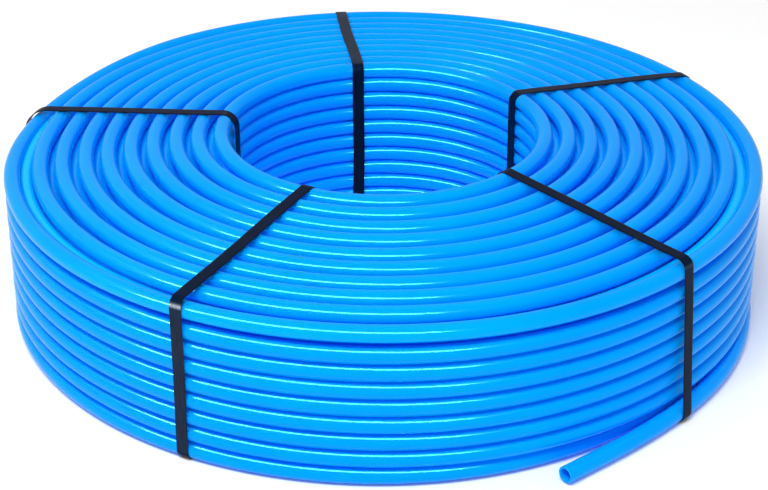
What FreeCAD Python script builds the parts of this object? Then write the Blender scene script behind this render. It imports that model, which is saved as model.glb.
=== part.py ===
import FreeCAD, Part
import math
import os

import Sketcher

# Coil of 16 mm underfloor heating pipe, lying flat, tied with five flat straps.
# Millimetres, +Z up. The origin is on the coil's own axis, at the level of the
# surface it lies on, which is the underside of the straps.
#
# The coil is ten rings of pipe wide. The outer ring is nine turns high and the
# ring round the bore is eleven turns high, so its upper end slopes down outwards.
# The last upper turn lies a little apart from the rest, inwards and upwards.
# The winding is one turned solid: a core through the centres of the surface
# turns, with each turn that can be seen standing half its thickness out of it.

doc = FreeCAD.newDocument("heating_pipe_coil")
sheet = doc.addObject("Spreadsheet::Sheet", "Dims")

DIMS = [
    # the pipe itself
    ("pipe_dia", 16.0),  # outer diameter
    ("pipe_bore_dia", 12.0),  # 2 mm wall
    # the winding
    ("coil_radius", 375.0),  # to the outside of the outer turns
    ("rim_pitch", 27.0),  # from the outermost ring to the next, across the end
    ("ring_pitch", 22.35),  # from ring to ring, over the rest of the end
    ("turn_pitch_outer", 17.3),  # from turn to turn, up the outside
    ("rim_step", 20.3),  # from the outermost upper turn to the one below it
    ("turn_pitch_bore", 16.17),  # from turn to turn, up the bore
    ("lift", 1.0),  # lowest turn above the ground, carried by the straps
    ("shoulder_drop", 3.2),  # outermost upper turn, below the next ring's
    # the free end
    ("tail_level", 8.7),  # height of its centre line
    ("tail_from_radius", 358.5),  # where its line leaves the winding
    ("tail_from_angle", 20.0),  # before the X axis
    ("tail_hold_radius", 377.5),  # where the front right strap holds it
    ("tail_hold_angle", 44.1),  # past the X axis
    ("tail_first_bend", 368.0),
    ("tail_second_bend", 700.0),
    ("tail_second_turn", 8.5),  # degrees turned by the second bend
    ("tail_straight", 50.0),
    ("tail_bore_depth", 30.0),  # how far the open bore is cut
    # the straps
    ("strap_width", 12.0),
    ("strap_thick", 0.8),
    ("strap_gap", 0.2),  # between a strap and the turns it lies on
]
for row, (alias, value) in enumerate(DIMS, 1):
    sheet.set("A%d" % row, alias.replace("_", " "))
    sheet.set("B%d" % row, str(value))
    sheet.setAlias("B%d" % row, alias)
doc.recompute()

RINGS = 10
OUTER_TURNS = 9
BORE_TURNS = 11

# centres of the corner turns, in the radial plane, as sheet expressions
R_OUT = "(Dims.coil_radius - Dims.pipe_dia / 2)"
R_BORE = "(Dims.coil_radius - Dims.pipe_dia / 2 - Dims.rim_pitch - %d * Dims.ring_pitch)" % (
    RINGS - 2)
Z_LOW = "(Dims.lift + Dims.pipe_dia / 2)"
Z_OUT = "(%s + %d * Dims.turn_pitch_outer + Dims.rim_step)" % (Z_LOW, OUTER_TURNS - 2)
Z_BORE = "(%s + %d * Dims.turn_pitch_bore)" % (Z_LOW, BORE_TURNS - 1)
# the even slope runs from the bore to the second ring from the outside
Z_SLOPE_OUT = "(%s + Dims.shoulder_drop)" % Z_OUT


def ring_r(i):
    """Centre radius of ring i, counted from the outside."""
    if i == 0:
        return R_OUT
    return "(%s - Dims.rim_pitch - %d * Dims.ring_pitch)" % (R_OUT, i - 1)


def ring_z(i):
    """Centre height of the upper turn of ring i, counted from the outside."""
    if i == 0:
        return Z_OUT
    return "(%s + (%s - %s) * %d / %d)" % (
        Z_SLOPE_OUT, Z_BORE, Z_SLOPE_OUT, i - 1, RINGS - 2)


def origin(body, role):
    return [f for f in body.Origin.OriginFeatures if f.Role == role][0]


def new_sketch(body, name, role):
    sk = body.newObject("Sketcher::SketchObject", name)
    sk.AttachmentSupport = (origin(body, role), "")
    sk.MapMode = "FlatFace"
    return sk


def number(expression):
    """The value of a sheet expression, for a first placing of the geometry."""
    text = expression.replace("Dims.", "")
    for alias in sorted((a for a, _ in DIMS), key=len, reverse=True):
        text = text.replace(alias, repr(float(sheet.get(alias))))
    return FreeCAD.Units.parseQuantity(text).Value


def bind(sk, index, expression):
    sk.setExpression("Constraints[%d]" % index, expression)


def pin_point(sk, geo, pos, ex, ey):
    """Tie a point of the sketch to two distances from the sketch's origin."""
    x, y = number(ex), number(ey)
    i = sk.addConstraint(Sketcher.Constraint("DistanceX", -1, 1, geo, pos, x))
    j = sk.addConstraint(Sketcher.Constraint("DistanceY", -1, 1, geo, pos, y))
    bind(sk, i, ex)
    bind(sk, j, ey)


def circles(sk, centres):
    for er, ez in centres:
        c = FreeCAD.Vector(number(er), number(ez), 0)
        g = sk.addGeometry(
            Part.Circle(c, FreeCAD.Vector(0, 0, 1), number("Dims.pipe_dia / 2")), False)
        i = sk.addConstraint(
            Sketcher.Constraint("Radius", g, number("Dims.pipe_dia / 2")))
        bind(sk, i, "Dims.pipe_dia / 2")
        pin_point(sk, g, 3, er, ez)


def revolve(body, name, sk):
    feature = body.newObject("PartDesign::Revolution", name)
    feature.Profile = sk
    feature.ReferenceAxis = (origin(body, "Z_Axis"), [""])
    feature.Angle = 360.0
    sk.Visibility = False
    return feature


# ---------------------------------------------------------------- the winding
coil = doc.addObject("PartDesign::Body", "pipe_coil")
coil.Label = "pipe_coil"

core_sketch = new_sketch(coil, "core_section", "XZ_Plane")
corners = [
    (R_BORE, Z_LOW), (R_OUT, Z_LOW), (R_OUT, Z_OUT),
    (ring_r(1), ring_z(1)), (R_BORE, ring_z(RINGS - 1)),
]
for k, a in enumerate(corners):
    b = corners[(k + 1) % len(corners)]
    core_sketch.addGeometry(Part.LineSegment(
        FreeCAD.Vector(number(a[0]), number(a[1]), 0),
        FreeCAD.Vector(number(b[0]), number(b[1]), 0)), False)
for k in range(len(corners)):
    core_sketch.addConstraint(
        Sketcher.Constraint("Coincident", k, 2, (k + 1) % len(corners), 1))
for k, (er, ez) in enumerate(corners):
    pin_point(core_sketch, k, 1, er, ez)
revolve(coil, "core", core_sketch)
doc.recompute()

# the turns that show on each side of the winding
sides = {
    "upper_turns": [(ring_r(i), ring_z(i)) for i in range(RINGS)],
    "lower_turns": [(ring_r(i), Z_LOW) for i in range(RINGS)],
    "outer_turns": [
        (R_OUT, "(%s + %d * Dims.turn_pitch_outer)" % (Z_LOW, k))
        for k in range(1, OUTER_TURNS - 1)],
    "bore_turns": [
        (R_BORE, "(%s + %d * Dims.turn_pitch_bore)" % (Z_LOW, k))
        for k in range(1, BORE_TURNS - 1)],
}
for name, centres in sides.items():
    sk = new_sketch(coil, name + "_section", "XZ_Plane")
    circles(sk, centres)
    revolve(coil, name, sk)
    doc.recompute()

# ---------------------------------------------------------------- the free end
# The last of the pipe. Its line leaves the outer ring at a slight angle, is held
# by the front right strap, then opens out in a wider bend and ends in a straight,
# square-cut length with its bore open.
d = {alias: float(sheet.get(alias)) for alias, _ in DIMS}


def polar(radius, degrees):
    a = math.radians(degrees)
    return FreeCAD.Vector(radius * math.cos(a), radius * math.sin(a), 0)


start = polar(d["tail_from_radius"], d["tail_from_angle"])
hold = polar(d["tail_hold_radius"], -d["tail_hold_angle"])
chord = hold - start
half = chord.Length / 2
first = d["tail_first_bend"]
# centre of the first bend, on the same side as the coil's axis
across = FreeCAD.Vector(chord.y, -chord.x, 0).normalize()
c1 = (start + hold) * 0.5 + across * math.sqrt(first ** 2 - half ** 2)
a_start = math.atan2(start.y - c1.y, start.x - c1.x)
a_hold = math.atan2(hold.y - c1.y, hold.x - c1.x)
second = d["tail_second_bend"]
c2 = hold + (c1 - hold).normalize() * second
a_end = a_hold - math.radians(d["tail_second_turn"])
bend_end = c2 + FreeCAD.Vector(second * math.cos(a_end), second * math.sin(a_end), 0)
along = FreeCAD.Vector(math.sin(a_end), -math.cos(a_end), 0)
tip = bend_end + along * d["tail_straight"]

# the line of the free end, in a level plane
line = new_sketch(coil, "free_end_line", "XY_Plane")
line.setExpression("AttachmentOffset.Base.z", "Dims.tail_level")
Z = FreeCAD.Vector(0, 0, 1)
line.addGeometry(Part.ArcOfCircle(Part.Circle(c1, Z, first), a_hold, a_start), False)
line.addGeometry(Part.ArcOfCircle(Part.Circle(c2, Z, second), a_end, a_hold), False)
line.addGeometry(Part.LineSegment(bend_end, tip), False)
line.addConstraint(Sketcher.Constraint("Tangent", 0, 1, 1, 2))
line.addConstraint(Sketcher.Constraint("Tangent", 1, 1, 2, 1))
for geo, pos, r_alias, a_alias, sign, p in [
    (0, 2, "tail_from_radius", "tail_from_angle", "", start),
    (0, 1, "tail_hold_radius", "tail_hold_angle", "-", hold),
]:
    i = line.addConstraint(Sketcher.Constraint("DistanceX", -1, 1, geo, pos, p.x))
    j = line.addConstraint(Sketcher.Constraint("DistanceY", -1, 1, geo, pos, p.y))
    bind(line, i, "Dims.%s * cos(Dims.%s * 1 deg)" % (r_alias, a_alias))
    bind(line, j, "%sDims.%s * sin(Dims.%s * 1 deg)" % (sign, r_alias, a_alias))
i = line.addConstraint(Sketcher.Constraint("Radius", 0, first))
bind(line, i, "Dims.tail_first_bend")
i = line.addConstraint(Sketcher.Constraint("Radius", 1, second))
bind(line, i, "Dims.tail_second_bend")
i = line.addConstraint(Sketcher.Constraint("Distance", 2, 1, 2, 2, d["tail_straight"]))
bind(line, i, "Dims.tail_straight")
# the second bend stops where it has turned the pipe by the stated angle
i = line.addConstraint(Sketcher.Constraint(
    "Distance", 1, 1, 1, 2, 2 * second * math.sin(math.radians(d["tail_second_turn"]) / 2)))
bind(line, i, "2 * Dims.tail_second_bend * sin(Dims.tail_second_turn / 2 * 1 deg)")
line.Visibility = False
doc.recompute()

# pipe section, square to the line at the free end
turn = FreeCAD.Rotation(
    FreeCAD.Vector(0, 0, 1), math.degrees(math.atan2(along.y, along.x)) + 90)


def end_section(name, diameter):
    sk = new_sketch(coil, name, "XZ_Plane")
    # the XZ plane turned about Z until its normal lies along the pipe
    want = FreeCAD.Placement(
        FreeCAD.Vector(tip.x, tip.y, d["tail_level"]),
        turn.multiply(FreeCAD.Rotation(FreeCAD.Vector(1, 0, 0), 90)))
    plane = FreeCAD.Placement(
        FreeCAD.Vector(), FreeCAD.Rotation(FreeCAD.Vector(1, 0, 0), 90))
    sk.AttachmentOffset = plane.inverse().multiply(want)
    g = sk.addGeometry(Part.Circle(FreeCAD.Vector(), Z, d[diameter] / 2), False)
    sk.addConstraint(Sketcher.Constraint("Coincident", g, 3, -1, 1))
    k = sk.addConstraint(Sketcher.Constraint("Radius", g, d[diameter] / 2))
    bind(sk, k, "Dims.%s / 2" % diameter)
    sk.Visibility = False
    return sk


outside = end_section("free_end_section", "pipe_dia")
doc.recompute()
wound = coil.Shape.Volume
tail = coil.newObject("PartDesign::AdditivePipe", "free_end_pipe")
tail.Profile = outside
tail.Spine = (line, ["Edge1", "Edge2", "Edge3"])
doc.recompute()
swept = coil.Shape.Volume
print("free end: %.1f mm long, adds %.1f cm3 outside the winding" % (
    line.Shape.Length, (swept - wound) / 1000))
if swept - wound < math.pi * (d["pipe_dia"] / 2) ** 2 * 1.5 * d["tail_straight"]:
    raise RuntimeError("the free end adds too little to the winding")

# the open bore of the pipe, cut back along the straight end
bore_sketch = end_section("free_end_bore_section", "pipe_bore_dia")
bore = coil.newObject("PartDesign::Pocket", "free_end_bore")
bore.Profile = bore_sketch
bore.setExpression("Length", "Dims.tail_bore_depth")
doc.recompute()
if coil.Shape.Volume > swept - 0.99 * math.pi * (
        d["pipe_bore_dia"] / 2) ** 2 * d["tail_bore_depth"]:
    raise RuntimeError("the bore of the free end is not open")

# ---------------------------------------------------------------- the straps
# Each is one closed loop of flat band round the winding, in an upright plane.
# It bears on the corner turns and is pulled straight between them.
# name: direction of its plane, and how far that plane passes from the axis
STRAPS = {
    "strap_back": (96.0, 11.1),
    "strap_right": (27.95, 4.4),
    "strap_front_right": (-44.9, 5.0),
    "strap_front_left": (-119.6, 10.0),
    "strap_left": (165.0, 15.5),
}


def tangent_loop(centres, radius):
    """Arcs about each centre joined by the straight lines that touch them.

    The centres go anticlockwise, and the loop is the line round all of them."""
    n = len(centres)
    out = []
    for k in range(n):
        p, q, s = centres[k - 1], centres[k], centres[(k + 1) % n]
        a0 = math.atan2(q[1] - p[1], q[0] - p[0]) - math.pi / 2
        a1 = math.atan2(s[1] - q[1], s[0] - q[0]) - math.pi / 2
        while a1 < a0:
            a1 += 2 * math.pi
        out.append((q, a0, a1))
    return out


def loop_sketch(body, name, centres, radius_expression):
    """One rounded loop: an arc at each corner turn, tangent to the runs between."""
    sk = new_sketch(body, name, "XZ_Plane")
    radius = number(radius_expression)
    plain = [(number(a), number(b)) for a, b in centres]
    parts = tangent_loop(plain, radius)
    n = len(parts)
    ends = []
    for q, a0, a1 in parts:
        c = FreeCAD.Vector(q[0], q[1], 0)
        sk.addGeometry(Part.ArcOfCircle(Part.Circle(c, Z, radius), a0, a1), False)
        ends.append((
            c + FreeCAD.Vector(radius * math.cos(a0), radius * math.sin(a0), 0),
            c + FreeCAD.Vector(radius * math.cos(a1), radius * math.sin(a1), 0)))
    for k in range(n):
        sk.addGeometry(
            Part.LineSegment(ends[k][1], ends[(k + 1) % n][0]), False)
    for k in range(n):
        sk.addConstraint(Sketcher.Constraint("Tangent", k, 2, n + k, 1))
        sk.addConstraint(Sketcher.Constraint("Tangent", n + k, 2, (k + 1) % n, 1))
    i = sk.addConstraint(Sketcher.Constraint("Radius", 0, radius))
    bind(sk, i, radius_expression)
    for k in range(1, n):
        sk.addConstraint(Sketcher.Constraint("Equal", 0, k))
    for k, (er, ez) in enumerate(centres):
        pin_point(sk, k, 3, er, ez)
    sk.Visibility = False
    return sk


for name, (direction, off) in STRAPS.items():
    body = doc.addObject("PartDesign::Body", name)
    body.Label = name
    low_out = R_OUT
    if name == "strap_front_right":
        low_out = "(Dims.tail_hold_radius + 0.4)"  # it goes round the free end too
    turns = [
        (R_BORE, Z_LOW), (low_out, Z_LOW), (R_OUT, Z_OUT),
        (ring_r(1), ring_z(1)), (R_BORE, ring_z(RINGS - 1)),
    ]
    # where this upright plane meets the centre circles of the corner turns
    plane_turns = []
    for er, ez in turns:
        r = number(er)
        plane_turns.append(("(%s - %.4f)" % (er, r - math.sqrt(r * r - off * off)), ez))
    outer = loop_sketch(
        body, name + "_outside", plane_turns,
        "(Dims.pipe_dia / 2 + Dims.strap_gap + Dims.strap_thick)")
    pad = body.newObject("PartDesign::Pad", name + "_band")
    pad.Profile = outer
    pad.setExpression("Length", "Dims.strap_width")
    pad.Midplane = True
    doc.recompute()
    inner = loop_sketch(
        body, name + "_inside", plane_turns, "(Dims.pipe_dia / 2 + Dims.strap_gap)")
    cut = body.newObject("PartDesign::Pocket", name + "_inside_cut")
    cut.Profile = inner
    cut.setExpression("Length", "Dims.strap_width * 2")
    cut.Midplane = True
    doc.recompute()
    a = math.radians(direction)
    body.Placement = FreeCAD.Placement(
        FreeCAD.Vector(-off * math.sin(a), off * math.cos(a), 0),
        FreeCAD.Rotation(Z, direction))
doc.recompute()

# ---------------------------------------------------------------- checks and files
NODES = ["pipe_coil"] + list(STRAPS)
for obj in doc.Objects:
    if any(word in ("Invalid", "Error") for word in obj.State):
        raise RuntimeError("%s: %s" % (obj.Name, obj.State))
for node in NODES:
    obj = doc.getObject(node)
    if obj.Shape.isNull() or not obj.Shape.isValid() or len(obj.Shape.Solids) != 1:
        raise RuntimeError("%s has no single valid solid" % node)

os.makedirs("parts", exist_ok=True)
for node in NODES:
    shape = doc.getObject(node).Shape
    shape.exportStep("parts/%s.step" % node)
    box = shape.BoundBox
    print("%-18s volume %.1f cm3  x %.2f..%.2f  y %.2f..%.2f  z %.2f..%.2f" % (
        node, shape.Volume / 1000, box.XMin, box.XMax, box.YMin, box.YMax,
        box.ZMin, box.ZMax))
print("free end's tip (%.4f, %.4f, %.4f), direction (%.6f, %.6f, 0)" % (
    tip.x, tip.y, d["tail_level"], along.x, along.y))
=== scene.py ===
import math

import bpy
import numpy as np
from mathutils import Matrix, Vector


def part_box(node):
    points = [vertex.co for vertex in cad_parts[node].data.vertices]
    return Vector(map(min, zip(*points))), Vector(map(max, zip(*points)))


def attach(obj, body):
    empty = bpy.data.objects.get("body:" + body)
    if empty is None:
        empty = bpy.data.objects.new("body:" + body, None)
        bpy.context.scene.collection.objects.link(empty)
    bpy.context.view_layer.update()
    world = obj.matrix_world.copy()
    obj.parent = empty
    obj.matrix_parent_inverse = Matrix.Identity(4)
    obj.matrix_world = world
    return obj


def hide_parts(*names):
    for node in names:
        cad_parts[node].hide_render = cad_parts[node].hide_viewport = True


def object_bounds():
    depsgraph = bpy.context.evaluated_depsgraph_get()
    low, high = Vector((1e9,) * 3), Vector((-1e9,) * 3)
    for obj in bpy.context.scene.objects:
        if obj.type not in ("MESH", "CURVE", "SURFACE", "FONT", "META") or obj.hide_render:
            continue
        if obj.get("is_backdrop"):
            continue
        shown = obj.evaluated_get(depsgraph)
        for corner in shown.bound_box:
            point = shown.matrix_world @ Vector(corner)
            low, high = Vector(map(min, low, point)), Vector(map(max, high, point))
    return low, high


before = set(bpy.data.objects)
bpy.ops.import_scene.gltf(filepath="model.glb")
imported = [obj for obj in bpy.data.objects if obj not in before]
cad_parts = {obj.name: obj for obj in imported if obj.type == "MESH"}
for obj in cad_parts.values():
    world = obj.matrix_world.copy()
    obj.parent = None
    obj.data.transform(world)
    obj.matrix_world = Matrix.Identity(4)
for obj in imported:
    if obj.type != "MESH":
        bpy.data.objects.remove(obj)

MM = 0.001
cad_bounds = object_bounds()
scene = bpy.context.scene

# ------------------------------------------------------------------ camera
cam_data = bpy.data.cameras.new("view_camera")
cam = bpy.data.objects.new("view_camera", cam_data)
scene.collection.objects.link(cam)
cam_data.sensor_width = 36.0
cam_data.lens = 90.92
cam_data.clip_end = 60.0
cam_data.shift_x = 0.00096
cam.location = (0.0, -1.7678, 0.9643)
cam.rotation_euler = (math.radians(62.469), 0.0, 0.0)
scene.camera = cam

# ------------------------------------------------------------------ sizes, from the CAD frame
LOW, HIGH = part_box("pipe_coil")
PIPE = 8.0  # pipe radius, mm
R_OUT = HIGH[0] / MM - PIPE
RIM_PITCH, RING_PITCH = 27.0, 22.35
Z_LOW = LOW[2] / MM + 0.3 + PIPE  # the free end lies 0.3 mm lower than the winding
OUTER_PITCH, RIM_STEP = 17.3, 20.3
BORE_PITCH = 16.17
RINGS, OUTER_TURNS, BORE_TURNS = 10, 9, 11
Z_OUT = Z_LOW + (OUTER_TURNS - 2) * OUTER_PITCH + RIM_STEP
Z_BORE = Z_LOW + (BORE_TURNS - 1) * BORE_PITCH
RING_R = [R_OUT] + [R_OUT - RIM_PITCH - i * RING_PITCH for i in range(RINGS - 1)]
RING_Z = [Z_OUT] + [
    Z_OUT + 3.2 + (Z_BORE - Z_OUT - 3.2) * i / (RINGS - 2) for i in range(RINGS - 1)]
R_BORE = RING_R[-1]


# ------------------------------------------------------------------ mesh helpers
class Shape:
    """Gathers vertices, faces and the pipe coordinates that the finish is laid along."""

    def __init__(self):
        self.verts, self.faces, self.coords, self.count = [], [], [], 0

    def add(self, verts, faces, coords):
        self.verts.append(verts)
        self.faces.append(faces + self.count)
        self.coords.append(coords)
        self.count += len(verts)

    def build(self, name, material):
        verts = np.concatenate(self.verts) * MM
        faces = np.concatenate(self.faces)
        mesh = bpy.data.meshes.new(name)
        mesh.vertices.add(len(verts))
        mesh.vertices.foreach_set("co", verts.ravel())
        mesh.loops.add(faces.size)
        mesh.loops.foreach_set("vertex_index", faces.ravel())
        mesh.polygons.add(len(faces))
        mesh.polygons.foreach_set("loop_start", np.arange(len(faces)) * 4)
        mesh.polygons.foreach_set("loop_total", np.full(len(faces), 4))
        mesh.update(calc_edges=True)
        mesh.validate()
        mesh.shade_smooth()
        attribute = mesh.attributes.new("pipe_co", "FLOAT_VECTOR", "POINT")
        attribute.data.foreach_set("vector", np.concatenate(self.coords).ravel())
        mesh.materials.append(material)
        obj = bpy.data.objects.new(name, mesh)
        scene.collection.objects.link(obj)
        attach(obj, "root")
        return obj


def grid_faces(rows, cols, close_rows, close_cols):
    """Quads over a grid of rows x cols vertices, facing away from the section's centre."""
    i = np.arange(rows if close_rows else rows - 1)[:, None]
    j = np.arange(cols if close_cols else cols - 1)[None, :]
    i2, j2 = (i + 1) % rows, (j + 1) % cols
    quads = np.stack([i * cols + j, i2 * cols + j, i2 * cols + j2, i * cols + j2], -1)
    return quads.reshape(-1, 4)


def wave(t, seed, size, parts=(2, 3, 5, 7)):
    """A small smooth wander that closes on itself round the coil."""
    out = np.zeros_like(t)
    for k, n in enumerate(parts):
        phase = 12.9898 * (seed + 1) + 78.233 * (k + 1) * (seed % 7 + 1.7)
        out += np.sin(n * t + phase) / (k + 1.5)
    return out * size / 1.3


def bump_at(t, centre, width):
    """1 at the given azimuth, falling smoothly to 0 at width degrees each side."""
    d = np.abs((np.degrees(t) - centre + 180) % 360 - 180) / width
    return np.where(d < 1, 0.5 + 0.5 * np.cos(np.pi * np.minimum(d, 1)), 0.0)


def turn(shape, radius, height, seed, segs=256, sides=24, r_wave=0.0, z_wave=0.0,
         dr=None, dz=None, most=None):
    """One closed turn of pipe about the coil's axis."""
    t = np.arange(segs) * 2 * np.pi / segs + np.pi / 2
    r = radius + wave(t, seed, r_wave)
    z = height + wave(t, seed + 31, z_wave)
    if dr is not None:
        r = r + dr(t)
    if dz is not None:
        z = z + dz(t)
    if most is not None:
        r = np.minimum(r, most)
    a = np.arange(sides) * 2 * np.pi / sides
    rr = r[:, None] + PIPE * np.cos(a)[None, :]
    zz = z[:, None] + PIPE * np.sin(a)[None, :]
    verts = np.stack([rr * np.cos(t)[:, None], rr * np.sin(t)[:, None], zz], -1)
    coords = np.stack([
        np.broadcast_to(np.cos(a)[None, :], rr.shape),
        np.broadcast_to(np.sin(a)[None, :], rr.shape),
        np.full(rr.shape, seed * 3.7)], -1)
    faces = grid_faces(segs, sides, True, True)
    shape.add(verts.reshape(-1, 3), faces, coords.reshape(-1, 3))


# ------------------------------------------------------------------ materials
def new_material(name):
    mat = bpy.data.materials.new(name)
    mat.use_nodes = True
    nt = mat.node_tree
    return mat, nt, nt.nodes["Principled BSDF"]


def node(nt, kind, **values):
    n = nt.nodes.new(kind)
    for key, value in values.items():
        if key.startswith("in_"):
            n.inputs[key[3:].replace("_", " ")].default_value = value
        else:
            setattr(n, key, value)
    return n


def pipe_material(name, lightened=False):
    """Extruded polyethylene: even saturated blue, satin gloss, faint lengthwise die
    lines, slight clouding along its length and a few scuffs where turns have rubbed."""
    mat, nt, bsdf = new_material(name)
    link = nt.links.new
    attr = node(nt, "ShaderNodeAttribute", attribute_name="pipe_co")
    where = node(nt, "ShaderNodeTexCoord")
    # die lines: constant along the pipe, changing round it
    lines = node(nt, "ShaderNodeTexNoise", noise_dimensions="3D", in_Scale=9.0,
                 in_Detail=4.0, in_Roughness=0.65)
    link(attr.outputs["Vector"], lines.inputs["Vector"])
    fine = node(nt, "ShaderNodeTexNoise", noise_dimensions="3D", in_Scale=34.0,
                in_Detail=2.0, in_Roughness=0.5)
    link(attr.outputs["Vector"], fine.inputs["Vector"])
    # slow clouding of the colour
    cloud = node(nt, "ShaderNodeTexNoise", in_Scale=7.0, in_Detail=3.0, in_Roughness=0.55)
    link(where.outputs["Object"], cloud.inputs["Vector"])
    ramp = node(nt, "ShaderNodeValToRGB")
    # with lightened set the ramp takes the paler colours: painted light for the pieces in the gaps
    ramp.color_ramp.elements[0].position = 0.30
    ramp.color_ramp.elements[0].color = COLOURS["lightened_deep" if lightened else "pipe_deep"]
    ramp.color_ramp.elements[1].position = 0.72
    ramp.color_ramp.elements[1].color = COLOURS["lightened_pale" if lightened else "pipe_light"]
    mixed = node(nt, "ShaderNodeMath", operation="MULTIPLY_ADD")
    mixed.inputs[1].default_value = 0.35
    link(lines.outputs["Fac"], mixed.inputs[0])
    scaled = node(nt, "ShaderNodeMath", operation="MULTIPLY")
    scaled.inputs[1].default_value = 0.65
    link(cloud.outputs["Fac"], scaled.inputs[0])
    link(scaled.outputs[0], mixed.inputs[2])
    link(mixed.outputs[0], ramp.inputs["Fac"])
    # scuffs: short pale rubbed marks
    scuff = node(nt, "ShaderNodeTexNoise", in_Scale=55.0, in_Detail=5.0, in_Roughness=0.7)
    link(where.outputs["Object"], scuff.inputs["Vector"])
    scuff_ramp = node(nt, "ShaderNodeMapRange", in_From_Min=0.66, in_From_Max=0.78,
                      in_To_Min=0.0, in_To_Max=0.28)
    link(scuff.outputs["Fac"], scuff_ramp.inputs["Value"])
    colour = node(nt, "ShaderNodeMix", data_type="RGBA")
    colour.inputs[7].default_value = COLOURS["pipe_scuff"]
    link(scuff_ramp.outputs["Result"], colour.inputs[0])
    link(ramp.outputs["Color"], colour.inputs[6])
    link(colour.outputs[2], bsdf.inputs["Base Color"])
    # roughness: satin, a little uneven
    rough = node(nt, "ShaderNodeMapRange", in_From_Min=0.3, in_From_Max=0.7,
                 in_To_Min=ROUGH[0], in_To_Max=ROUGH[1])
    link(lines.outputs["Fac"], rough.inputs["Value"])
    rough_sum = node(nt, "ShaderNodeMath", operation="ADD")
    link(rough.outputs["Result"], rough_sum.inputs[0])
    link(scuff_ramp.outputs["Result"], rough_sum.inputs[1])
    link(rough_sum.outputs[0], bsdf.inputs["Roughness"])
    # relief: die lines and a very fine orange peel
    peel = node(nt, "ShaderNodeTexNoise", in_Scale=420.0, in_Detail=2.0, in_Roughness=0.5)
    link(where.outputs["Object"], peel.inputs["Vector"])
    height = node(nt, "ShaderNodeMath", operation="MULTIPLY_ADD")
    height.inputs[1].default_value = 0.35
    link(peel.outputs["Fac"], height.inputs[0])
    link(fine.outputs["Fac"], height.inputs[2])
    bump = node(nt, "ShaderNodeBump", in_Strength=0.03, in_Distance=0.0002)
    link(height.outputs[0], bump.inputs["Height"])
    link(bump.outputs["Normal"], bsdf.inputs["Normal"])
    bsdf.inputs["IOR"].default_value = 1.42
    bsdf.inputs["Specular IOR Level"].default_value = 0.12
    bsdf.inputs["Specular Tint"].default_value = (0.10, 0.80, 1.0, 1)

    return mat


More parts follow.
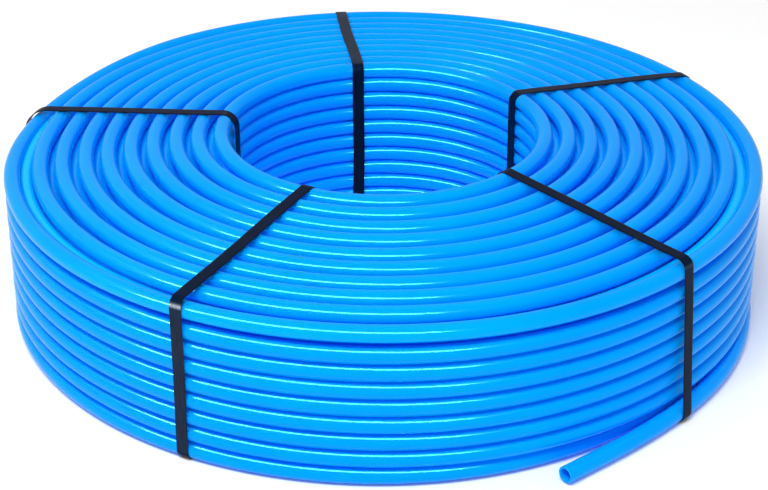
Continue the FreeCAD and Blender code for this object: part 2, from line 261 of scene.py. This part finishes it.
def strap_material(name):
    """Polypropylene strapping: blue-black, fine embossed lozenges, paler streaks along the fibres, and a
    painted highlight on the hard bends.
    """
    mat, nt, bsdf = new_material(name)
    link = nt.links.new
    attr = node(nt, "ShaderNodeAttribute", attribute_name="strap_co")  # mm along, mm across
    split = node(nt, "ShaderNodeSeparateXYZ")
    link(attr.outputs["Vector"], split.inputs[0])
    heights = []
    for sign in (1.0, -1.0):
        across = node(nt, "ShaderNodeMath", operation="MULTIPLY")
        across.inputs[1].default_value = sign
        link(split.outputs["Y"], across.inputs[0])
        total = node(nt, "ShaderNodeMath", operation="ADD")
        link(split.outputs["X"], total.inputs[0])
        link(across.outputs[0], total.inputs[1])
        scaled = node(nt, "ShaderNodeMath", operation="MULTIPLY")
        scaled.inputs[1].default_value = 2 * math.pi / 1.9
        link(total.outputs[0], scaled.inputs[0])
        sine = node(nt, "ShaderNodeMath", operation="SINE")
        link(scaled.outputs[0], sine.inputs[0])
        heights.append(sine)
    lozenge = node(nt, "ShaderNodeMath", operation="MULTIPLY")
    link(heights[0].outputs[0], lozenge.inputs[0])
    link(heights[1].outputs[0], lozenge.inputs[1])
    fibre = node(nt, "ShaderNodeTexNoise", in_Scale=1.0, in_Detail=4.0, in_Roughness=0.6)
    stretch = node(nt, "ShaderNodeVectorMath", operation="MULTIPLY")
    stretch.inputs[1].default_value = (0.05, 2.2, 1.0)
    link(attr.outputs["Vector"], stretch.inputs[0])
    link(stretch.outputs[0], fibre.inputs["Vector"])
    blotch = node(nt, "ShaderNodeTexNoise", in_Scale=0.035, in_Detail=3.0)
    link(attr.outputs["Vector"], blotch.inputs["Vector"])
    ramp = node(nt, "ShaderNodeValToRGB")
    ramp.color_ramp.elements[0].position = 0.35
    ramp.color_ramp.elements[0].color = COLOURS["strap_deep"]
    ramp.color_ramp.elements[1].position = 0.75
    ramp.color_ramp.elements[1].color = COLOURS["strap_light"]
    both = node(nt, "ShaderNodeMath", operation="MULTIPLY_ADD")
    both.inputs[1].default_value = 0.5
    half = node(nt, "ShaderNodeMath", operation="MULTIPLY")
    half.inputs[1].default_value = 0.5
    link(blotch.outputs["Fac"], half.inputs[0])
    link(fibre.outputs["Fac"], both.inputs[0])
    link(half.outputs[0], both.inputs[2])
    link(both.outputs[0], ramp.inputs["Fac"])
    # painted highlight: the band is painted pale, streaked along the fibres, where it is bent hard, a
    # glint of the light put into its colour
    glint_paint = node(nt, "ShaderNodeAttribute", attribute_name="glint_paint")
    glint_streak = node(nt, "ShaderNodeMapRange", in_From_Min=0.32, in_From_Max=0.62,
                  in_To_Min=0.15, in_To_Max=1.0)
    link(fibre.outputs["Fac"], glint_streak.inputs["Value"])
    glint_mix = node(nt, "ShaderNodeMath", operation="MULTIPLY")
    link(glint_paint.outputs["Fac"], glint_mix.inputs[0])
    link(glint_streak.outputs["Result"], glint_mix.inputs[1])
    colour = node(nt, "ShaderNodeMix", data_type="RGBA")
    colour.inputs[7].default_value = COLOURS["strap_glint_white"]
    link(glint_mix.outputs[0], colour.inputs[0])
    link(ramp.outputs["Color"], colour.inputs[6])
    link(colour.outputs[2], bsdf.inputs["Base Color"])
    rough = node(nt, "ShaderNodeMapRange", in_From_Min=0.3, in_From_Max=0.7,
                 in_To_Min=0.26, in_To_Max=0.38)
    link(fibre.outputs["Fac"], rough.inputs["Value"])
    link(rough.outputs["Result"], bsdf.inputs["Roughness"])
    height = node(nt, "ShaderNodeMath", operation="MULTIPLY_ADD")
    height.inputs[1].default_value = 0.35
    link(fibre.outputs["Fac"], height.inputs[0])
    link(lozenge.outputs[0], height.inputs[2])
    bump = node(nt, "ShaderNodeBump", in_Strength=0.35, in_Distance=0.00012)
    link(height.outputs[0], bump.inputs["Height"])
    link(bump.outputs["Normal"], bsdf.inputs["Normal"])
    bsdf.inputs["IOR"].default_value = 1.49
    bsdf.inputs["Specular IOR Level"].default_value = 0.04
    bsdf.inputs["Specular Tint"].default_value = (0.3, 0.55, 0.9, 1)
    return mat


COLOURS = {
    "pipe_deep": (0.0, 0.295, 0.97, 1),
    "pipe_light": (0.0, 0.35, 0.98, 1),
    "pipe_scuff": (0.01, 0.45, 0.99, 1),
    # the paler copy of the pipe colour: painted light for the pieces in the gaps
    "lightened_deep": (0.0, 0.46, 0.99, 1),
    "lightened_pale": (0.0, 0.54, 0.99, 1),
    "strap_deep": (0.001, 0.0036, 0.012, 1),
    "strap_light": (0.003, 0.008, 0.024, 1),
    # the pale colour of the painted highlight on the straps' hard bends
    "strap_glint_white": (0.42, 0.44, 0.50, 1),
}
ROUGH = (0.15, 0.21)
PIPE_MAT = pipe_material("pipe_polyethylene")
# a paler copy of the pipe colour for the pieces seen down the gaps: painted light that lifts the shade
# there
PAINTED_LIGHT_MAT = pipe_material("pipe_polyethylene_painted_light", lightened=True)
STRAP_MAT = strap_material("strap_polypropylene")

# ------------------------------------------------------------------ the wound turns
# the outermost upper turn sinks in and down beside the left strap
sink = lambda t: -3.6 * bump_at(t, 159, 34)
inward = lambda t: -3.2 * bump_at(t, 159, 34)

top = Shape()
for i in range(RINGS):
    turn(top, RING_R[i], RING_Z[i], i, r_wave=0.5 if i else 0.25, z_wave=0.35 if i < 9 else 0.0,
         dr=inward if i == 0 else None, dz=sink if i == 0 else None,
         most=R_OUT if i == 0 else None)
# the turn behind the rim step
turn(top, R_OUT - 12.6, Z_OUT - RIM_STEP / 2, 130, segs=192, sides=20, r_wave=0.2,
     dr=inward, dz=lambda t: 0.5 * sink(t))
pipe_top = top.build("pipe_top_turns", PIPE_MAT)

side = Shape()
for k in range(1, OUTER_TURNS - 1):
    turn(side, R_OUT - 0.3, Z_LOW + k * OUTER_PITCH, 20 + k, r_wave=0.28, z_wave=0.3,
         most=R_OUT)
pipe_side = side.build("pipe_outer_turns", PIPE_MAT)

bore = Shape()
for k in range(1, BORE_TURNS - 1):
    turn(bore, R_BORE, Z_LOW + k * BORE_PITCH, 40 + k, segs=208, sides=24,
         r_wave=0.25, z_wave=0.06)
pipe_bore = bore.build("pipe_bore_turns", PIPE_MAT)

base = Shape()
for i in range(1, RINGS):
    turn(base, RING_R[i], Z_LOW, 60 + i, segs=192, sides=18, r_wave=0.4)
pipe_base = base.build("pipe_bottom_turns", PIPE_MAT)

# the turns below the top ones, seen down the gaps between the rings
under = Shape()
for i in range(RINGS - 1):
    half_gap = (RING_R[i] - RING_R[i + 1]) / 2
    down = math.sqrt((2 * PIPE) ** 2 - half_gap ** 2) + 0.6
    turn(under, RING_R[i] - half_gap, (RING_Z[i] + RING_Z[i + 1]) / 2 - down - (1.0 if i == 0 else 3.4),
         90 + i, segs=192, sides=20, r_wave=0.5, z_wave=0.4)
for i in range(1, RINGS - 1):
    turn(under, RING_R[i], RING_Z[i] - 24.5, 110 + i, segs=128, sides=12)
# the turns in the gaps take the paler copy: painted light lifting the shade there
pipe_under = under.build("pipe_inner_turns", PAINTED_LIGHT_MAT)

# the rest of the winding behind them, as one ribbed mass of turns
core = Shape()
segs = 160
t = np.arange(segs) * 2 * np.pi / segs + np.pi / 2
outline = []
outer_x, inner_x = R_OUT - 15.0, R_BORE + 15.0
for k in range(OUTER_TURNS - 2):
    z0 = Z_LOW + k * OUTER_PITCH
    for s in range(8):
        outline.append((outer_x - 1.0 + 17.0 * math.sin(math.pi * s / 8), z0 + OUTER_PITCH * s / 8))
top_outer, top_inner = (outer_x - 1.0, Z_LOW + 7 * OUTER_PITCH), (inner_x, RING_Z[-1] - 36.0)
for s in range(37):
    f = s / 36
    outline.append((top_outer[0] + (top_inner[0] - top_outer[0]) * f,
                    top_outer[1] + (top_inner[1] - top_outer[1]) * f
                    + 3.0 * math.sin(math.pi * 9 * f) ** 2))
for k in range(8):
    z0 = RING_Z[-1] - 46 - k * BORE_PITCH
    if z0 - BORE_PITCH < Z_LOW + 6:
        break
    for s in range(4):
        outline.append((inner_x - 3.0 * math.sin(math.pi * s / 4), z0 - BORE_PITCH * s / 4))
outline.append((inner_x, Z_LOW + 7.0))
for s in range(1, 36):
    f = s / 36
    outline.append((inner_x + (outer_x - inner_x) * f, Z_LOW + 7.0 + 2.5 * math.sin(math.pi * 9 * f) ** 2))
outline = np.array(outline)
n = len(outline)
verts = np.stack([outline[None, :, 0] * np.cos(t)[:, None],
                  outline[None, :, 0] * np.sin(t)[:, None],
                  np.broadcast_to(outline[None, :, 1], (segs, n))], -1)
coords = np.stack([np.broadcast_to(outline[None, :, 0] * 0.1, (segs, n)),
                   np.broadcast_to(outline[None, :, 1] * 0.1, (segs, n)),
                   np.zeros((segs, n))], -1)
core.add(verts.reshape(-1, 3), grid_faces(segs, n, True, True), coords.reshape(-1, 3))
# the inner mass takes the paler copy too: painted light lifting the shade in the gaps
pipe_core = core.build("pipe_inner_mass", PAINTED_LIGHT_MAT)


# ------------------------------------------------------------------ lowest turn and free end
def lowest_turn():
    """The last turn of the pipe: once round at the foot of the coil, under the front
    right strap, then out and away to the cut end. Returns points of its centre line."""
    pts = []
    # the part that leaves: three tangent pieces, as in the frame
    level = LOW[2] / MM + PIPE
    p0 = np.array([358.5 * math.cos(math.radians(20)), 358.5 * math.sin(math.radians(20))])
    hold = np.array([377.5 * math.cos(math.radians(-44.1)), 377.5 * math.sin(math.radians(-44.1))])
    chord = hold - p0
    half = np.hypot(*chord) / 2
    across = np.array([chord[1], -chord[0]]) / (2 * half)
    c1 = (p0 + hold) / 2 + across * math.sqrt(368.0 ** 2 - half ** 2)
    a1 = math.atan2(hold[1] - c1[1], hold[0] - c1[0])
    a0 = math.atan2(p0[1] - c1[1], p0[0] - c1[0])
    c2 = hold + (c1 - hold) / np.hypot(*(c1 - hold)) * 700.0
    a2 = a1 - math.radians(8.5)
    bend_end = c2 + 700.0 * np.array([math.cos(a2), math.sin(a2)])
    along = np.array([math.sin(a2), -math.cos(a2)])
    # once round, clockwise seen from above, from behind the leaving part
    az = np.linspace(342.0, 12.0, 232)
    for k, deg in enumerate(az):
        behind = 0.0
        if deg > 250:
            s = min(1.0, (deg - 262) / 80.0) if deg > 262 else 0.0
            s = s * s * (3 - 2 * s)
            behind = -11.0 * s
        r = R_OUT + behind
        z = Z_LOW + (3.2 * max(0.0, (deg - 300) / 42.0) ** 2 if deg > 300 else 0.0)
        pts.append((r * math.cos(math.radians(deg)), r * math.sin(math.radians(deg)), z))
    # from 12 degrees on, ease from the turn to the leaving arc
    for deg in np.arange(10.0, -44.0, -1.5):
        # where the leaving arc stands at this azimuth
        d = np.array([math.cos(math.radians(deg)), math.sin(math.radians(deg))])
        b = d @ c1
        r_arc = b + math.sqrt(b * b - c1 @ c1 + 368.0 ** 2)
        f = min(1.0, (12.0 - deg) / 40.0)
        f = f * f * (3 - 2 * f)
        r_mix = R_OUT + (r_arc - R_OUT) * f if r_arc > R_OUT else R_OUT
        z = Z_LOW + (level - Z_LOW) * f
        pts.append((r_mix * d[0], r_mix * d[1], z))
    for a in np.linspace(a1, a2, 26):
        q = c2 + 700.0 * np.array([math.cos(a), math.sin(a)])
        pts.append((q[0], q[1], level))
    for s in np.linspace(5.0, 50.0, 10):
        q = bend_end + along * s
        pts.append((q[0], q[1], level))
    return np.array(pts), np.array([along[0], along[1], 0.0])


last = Shape()
line, along = lowest_turn()
tip = line[-1]
# the hidden start is closed by a rounded nose; the cut end turns in to the open bore
nose = [line[0] - (line[1] - line[0]) / np.linalg.norm(line[1] - line[0]) * PIPE * math.sin(b)
        for b in np.linspace(math.pi / 2, 0.15, 8)]
nose_r = [PIPE * max(0.02, math.cos(b)) for b in np.linspace(math.pi / 2, 0.15, 8)]
rim = [(0.0, 7.72), (0.0, 7.3), (0.0, 6.35), (-0.02, 6.15), (-0.3, 6.0), (-3.0, 6.0),
       (-15.0, 6.0), (-40.0, 6.0), (-80.0, 6.0), (-80.5, 5.6), (-80.6, 3.0), (-80.6, 0.02)]
points = [*nose, *line[:-1], tip - along * 0.6, tip - along * 0.28, tip - along * 0.08]
radii = [*nose_r, *([PIPE] * (len(line) - 1)), PIPE, PIPE, 7.92]
main_pts = np.array(points)
main_r = np.array(radii)


def lathe_end(shape, pts, radii, cap_pts, cap_r, sides, seed):
    """The tube with its cut end: rows of the outside, then of the rim and the bore."""
    tangent = np.gradient(pts, axis=0)
    tangent /= np.linalg.norm(tangent, axis=1)[:, None]
    tangent = np.concatenate([tangent, np.repeat(along[None, :], len(cap_pts), 0)])
    allp = np.concatenate([pts, cap_pts])
    allr = np.concatenate([radii, cap_r])
    sideways = np.cross(tangent, [0.0, 0.0, 1.0])
    sideways /= np.linalg.norm(sideways, axis=1)[:, None]
    up = np.cross(sideways, tangent)
    a = np.arange(sides) * 2 * np.pi / sides
    verts = (allp[:, None, :] + allr[:, None, None] * (
        np.cos(a)[None, :, None] * sideways[:, None, :]
        + np.sin(a)[None, :, None] * up[:, None, :]))
    coords = np.stack([
        np.broadcast_to(np.cos(a)[None, :], (len(allp), sides)),
        np.broadcast_to(np.sin(a)[None, :], (len(allp), sides)),
        np.full((len(allp), sides), seed * 3.7)], -1)
    faces = grid_faces(len(allp), sides, False, True)
    # close the hidden start and the bottom of the bore
    row = (len(allp) - 1) * sides
    start = [(k, k + 1, sides - 2 - k, sides - 1 - k) for k in range(sides // 2 - 1)]
    end = [(row + k + 1, row + k, row + sides - 1 - k, row + sides - 2 - k)
           for k in range(sides // 2 - 1)]
    faces = np.concatenate([faces, np.array(start), np.array(end)])
    shape.add(verts.reshape(-1, 3), faces, coords.reshape(-1, 3))


cap_pts, cap_r = [], []
for d, r in rim:
    # the bore follows the pipe back from the cut
    cap_pts.append(tip + along * d)
    cap_r.append(r)
lathe_end(last, main_pts, main_r, np.array(cap_pts), np.array(cap_r), 32, 15)
pipe_end = last.build("pipe_lowest_turn_and_free_end", PIPE_MAT)

for piece in (pipe_top, pipe_side, pipe_bore, pipe_base, pipe_under, pipe_core, pipe_end):
    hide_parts("pipe_coil")

# ------------------------------------------------------------------ the straps
STRAPS = {
    "strap_back": (96.0, 11.1),
    "strap_right": (27.95, 4.4),
    "strap_front_right": (-44.9, 5.0),
    "strap_front_left": (-119.6, 10.0),
    "strap_left": (165.0, 15.5),
}
WIDTH, THICK, GAP = 12.0, 0.8, 0.2


def rounded_loop(centres, radii):
    """The line round a row of circles, each with its own radius: (x, z) points and the
    outward direction at each, anticlockwise."""
    n = len(centres)
    arcs = []
    lines = []
    for k in range(n):
        p, q = np.array(centres[k]), np.array(centres[(k + 1) % n])
        d = q - p
        length = np.hypot(*d)
        base = math.atan2(d[1], d[0])
        tilt = math.asin((radii[k] - radii[(k + 1) % n]) / length)
        lines.append(base - math.pi / 2 + tilt)
    pts, out = [], []
    for k in range(n):
        a0, a1 = lines[k - 1], lines[k]
        while a1 < a0 - 1e-6:
            a1 += 2 * math.pi
        steps = max(2, int((a1 - a0) / math.radians(7)) + 1)
        for a in np.linspace(a0, a1, steps):
            pts.append(np.array(centres[k]) + radii[k] * np.array([math.cos(a), math.sin(a)]))
            out.append((math.cos(a), math.sin(a)))
    # divide the straight runs
    full, full_out = [], []
    m = len(pts)
    for k in range(m):
        p, q = pts[k], pts[(k + 1) % m]
        full.append(p)
        full_out.append(out[k])
        gap = np.hypot(*(q - p))
        if gap > 7:
            parts = int(gap / 5) + 1
            for s in range(1, parts):
                f = s / parts
                full.append(p + (q - p) * f)
                full_out.append((out[k][0] * (1 - f) + out[(k + 1) % m][0] * f,
                                 out[k][1] * (1 - f) + out[(k + 1) % m][1] * f))
    full_out = np.array(full_out)
    full_out /= np.linalg.norm(full_out, axis=1)[:, None]
    return np.array(full), full_out


def band_section():
    """Across the band: (mm across, mm out), with rounded edges."""
    pts = []
    w, h, c = WIDTH / 2, THICK, 0.22
    for x in np.linspace(-w + c, w - c, 7):
        pts.append((x, 0.0))
    pts.append((w - 0.07, 0.07))
    pts.append((w, c))
    pts.append((w, h - c))
    pts.append((w - 0.07, h - 0.07))
    for x in np.linspace(w - c, -w + c, 7):
        pts.append((x, h))
    pts.append((-w + 0.07, h - 0.07))
    pts.append((-w, h - c))
    pts.append((-w, c))
    pts.append((-w + 0.07, 0.07))
    return np.array(pts)


def corners(name, off):
    """The rounds that the band turns on, in its own plane: (out, up, inner radius), from
    the foot of the bore anticlockwise. Bands bear on the corner turns, or spring a
    little clear of them where they are stiff or slack."""
    inner = PIPE + GAP

    def out(r):
        return math.sqrt(r * r - off * off)

    foot = [(out(R_BORE), Z_LOW, inner), (out(R_OUT), Z_LOW, inner)]
    crest = (out(R_BORE), RING_Z[-1], inner)
    tight = [(out(R_OUT), Z_OUT, inner), (out(RING_R[1]), RING_Z[1], inner)]
    if name == "strap_front_right":  # goes round the free end too
        foot[1] = (out(377.9), Z_LOW, inner)
        return foot + [(366.2, 155.0, 9.0), crest]
    if name == "strap_front_left":
        return foot + [(366.4, 154.4, 9.4), crest]
    if name == "strap_left":
        foot[0] = (161.4, Z_LOW + 4.0, inner + 4.0)
        return foot + [(352.0, 133.5, 28.1), (162.9, 164.6, 14.2)]
    if name == "strap_right":
        return foot + tight + [(162.8, 168.9, 10.0)]
    return foot + tight + [crest]


def strap(name, direction, off):
    rounds = corners(name, off)
    path, out = rounded_loop([(x, z) for x, z, _ in rounds], [r for _, _, r in rounds])
    section = band_section()
    a = math.radians(direction)
    ahead = np.array([math.cos(a), math.sin(a), 0.0])
    across = np.array([-math.sin(a), math.cos(a), 0.0])
    up = np.array([0.0, 0.0, 1.0])
    n, m = len(path), len(section)
    step = np.hypot(*(np.roll(path, -1, 0) - path).T)
    dist = np.concatenate([[0], np.cumsum(step)[:-1]])
    # the band sways a little from side to side, as a tied one does
    seed = sum(ord(ch) for ch in name) % 17
    turnphase = 2 * np.pi * dist / step.sum()
    sway = 0.55 * np.sin(turnphase * 2 + seed) + 0.3 * np.sin(turnphase * 5 + 2 * seed)
    verts = np.zeros((n, m, 3))
    for j, (x, h) in enumerate(section):
        q = path + out * h
        verts[:, j] = (ahead[None, :] * q[:, :1] + up[None, :] * q[:, 1:]
                       + across[None, :] * (off + x + sway)[:, None])
    coords = np.stack([np.broadcast_to(dist[:, None], (n, m)),
                       np.broadcast_to(section[None, :, 0], (n, m)),
                       np.broadcast_to(section[None, :, 1], (n, m))], -1)
    shape = Shape()
    shape.add(verts.reshape(-1, 3), grid_faces(n, m, True, True), coords.reshape(-1, 3))
    obj = shape.build(name + "_band", STRAP_MAT)
    extra = obj.data.attributes.new("strap_co", "FLOAT_VECTOR", "POINT")
    extra.data.foreach_set("vector", np.concatenate(shape.coords).ravel())
    # where the painted highlight goes: at the foot of the upper outer corner, strongest on the front left
    # strap, and faintly along the top run
    tilt = np.degrees(np.arctan2(out[:, 1], out[:, 0]))
    painted_glint = np.exp(-((tilt - 16.0) / 9.0) ** 2) * (0.85 if name == "strap_front_left" else 0.10)
    painted_glint = painted_glint + np.exp(-((tilt - 100.0) / 6.0) ** 2) * 0.05
    glint_attribute = obj.data.attributes.new("glint_paint", "FLOAT", "POINT")
    glint_attribute.data.foreach_set("value", np.repeat(painted_glint, m).astype(np.float32))
    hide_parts(name)
    return obj


straps = [strap(name, direction, off) for name, (direction, off) in STRAPS.items()]

# ------------------------------------------------------------------ floor and light
floor_mesh = bpy.data.meshes.new("studio_floor")
floor_mesh.from_pydata([(-12, -12, 0), (12, -12, 0), (12, 12, 0), (-12, 12, 0)], [], [(0, 1, 2, 3)])
floor = bpy.data.objects.new("studio_floor", floor_mesh)
floor.location.z = -0.0002
scene.collection.objects.link(floor)
floor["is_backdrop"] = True
mat, nt, bsdf = new_material("studio_paper")
bsdf.inputs["Base Color"].default_value = (0.975, 0.975, 0.975, 1)
bsdf.inputs["Roughness"].default_value = 0.9
bsdf.inputs["Specular IOR Level"].default_value = 0.1
floor_mesh.materials.append(mat)

world = bpy.data.worlds.new("studio_world")
world.use_nodes = True
background = world.node_tree.nodes["Background"]
background.inputs["Color"].default_value = (1.0, 1.0, 1.0, 1)
background.inputs["Strength"].default_value = 0.60
scene.world = world


def area(name, azimuth, elevation, distance, size, power, size_y=None, aim=(0, 0, 0.08)):
    """A soft light at an azimuth (0 = +X, 90 = +Y) and elevation, aimed at the coil."""
    light = bpy.data.lights.new(name, "AREA")
    light.shape = "RECTANGLE"
    light.size = size
    light.size_y = size_y or size
    light.energy = power
    obj = bpy.data.objects.new(name, light)
    a, e = math.radians(azimuth), math.radians(elevation)
    place = np.array([math.cos(a) * math.cos(e), math.sin(a) * math.cos(e), math.sin(e)])
    obj.location = tuple(place * distance + np.array(aim))
    from mathutils import Vector
    obj.rotation_euler = Vector(-place).to_track_quat("-Z", "Y").to_euler()
    scene.collection.objects.link(obj)
    return obj


def lights_only(light, name, pieces):
    """Keeps a light to some pieces, as a flag or a grid does in a studio."""
    group = bpy.data.collections.new(name)
    for piece in pieces:
        group.objects.link(piece)
    light.light_linking.receiver_collection = group


low_key = area("key_low", -108, 37, 2.8, 1.3, 50.0, size_y=0.12)
lights_only(low_key, "lit_by_key_low", [pipe_top, pipe_under, *straps])
high_key = area("key_high", -108, 57, 2.8, 1.3, 50.0, size_y=0.12)
lights_only(high_key, "lit_by_key_high", [
    pipe_side, pipe_bore, pipe_end, pipe_core, pipe_base, floor, *straps])
# strips seen only in the gloss, for the thin bright streaks along the turns
low_glint = area("glint_low", -118, 37, 2.8, 4.4, 2100.0, size_y=0.10)
lights_only(low_glint, "lit_by_glint_low", [pipe_top])
high_glint = area("glint_high", -118, 57, 2.8, 4.4, 2100.0, size_y=0.10)
lights_only(high_glint, "lit_by_glint_high", [pipe_side, pipe_bore, pipe_end])
for strip in (low_glint, high_glint):
    strip.visible_diffuse = False
    strip.visible_camera = False
area("left", 178, 42, 3.0, 1.0, 6.0)
area("top", 90, 78, 3.0, 2.4, 8.0)
scene.cycles.max_bounces = 16
scene.cycles.diffuse_bounces = 12

scene.view_settings.view_transform = "Standard"
scene.view_settings.look = "None"
scene.view_settings.exposure = 0.0
scene.view_settings.gamma = 1.0


def plain(value):
    """Nested plain lists of numbers."""
    return float(value) if isinstance(value, (int, float)) else [plain(v) for v in value]


bpy.context.view_layer.update()
{"cad": plain(cad_bounds), "visual": plain(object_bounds())}
